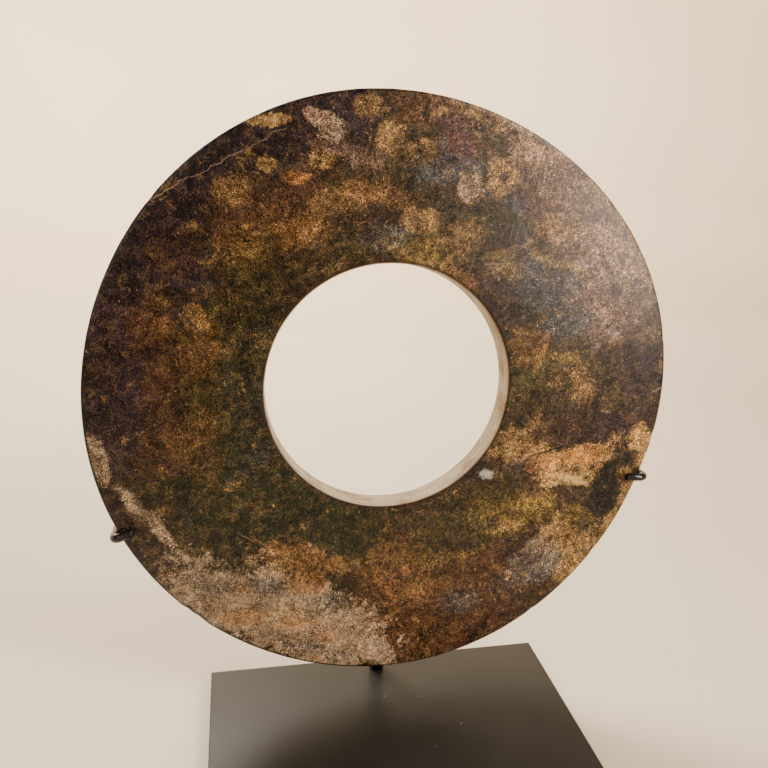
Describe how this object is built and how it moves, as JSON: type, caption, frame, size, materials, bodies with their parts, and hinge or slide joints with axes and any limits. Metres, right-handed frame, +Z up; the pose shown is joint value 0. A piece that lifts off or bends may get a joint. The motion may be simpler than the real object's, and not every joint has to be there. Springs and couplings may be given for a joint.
{
  "type": "jade bi disc",
  "caption": "Flat polished stone bi disc with a round centre hole, held upright and leaning back in hooked rod arms on a post and a flat base plate.",
  "frame": {"origin": "centre of the base plate's underside", "axes": "+Z up, -Y the way the disc's front looks, +X to the right seen from the front"},
  "size_m": [0.2201, 0.105, 0.2393],
  "materials": {
    "jade": "polished nephrite, mottled olive, brown and purple-black with a pale weathered zone",
    "plate_metal": "satin graphite",
    "rod_metal": "gloss black"
  },
  "bodies": {
    "root": {"jade_disc": "jade", "base_plate": "plate_metal", "post": "rod_metal", "left_arm": "rod_metal", "right_arm": "rod_metal"}
  },
  "joints": []
}
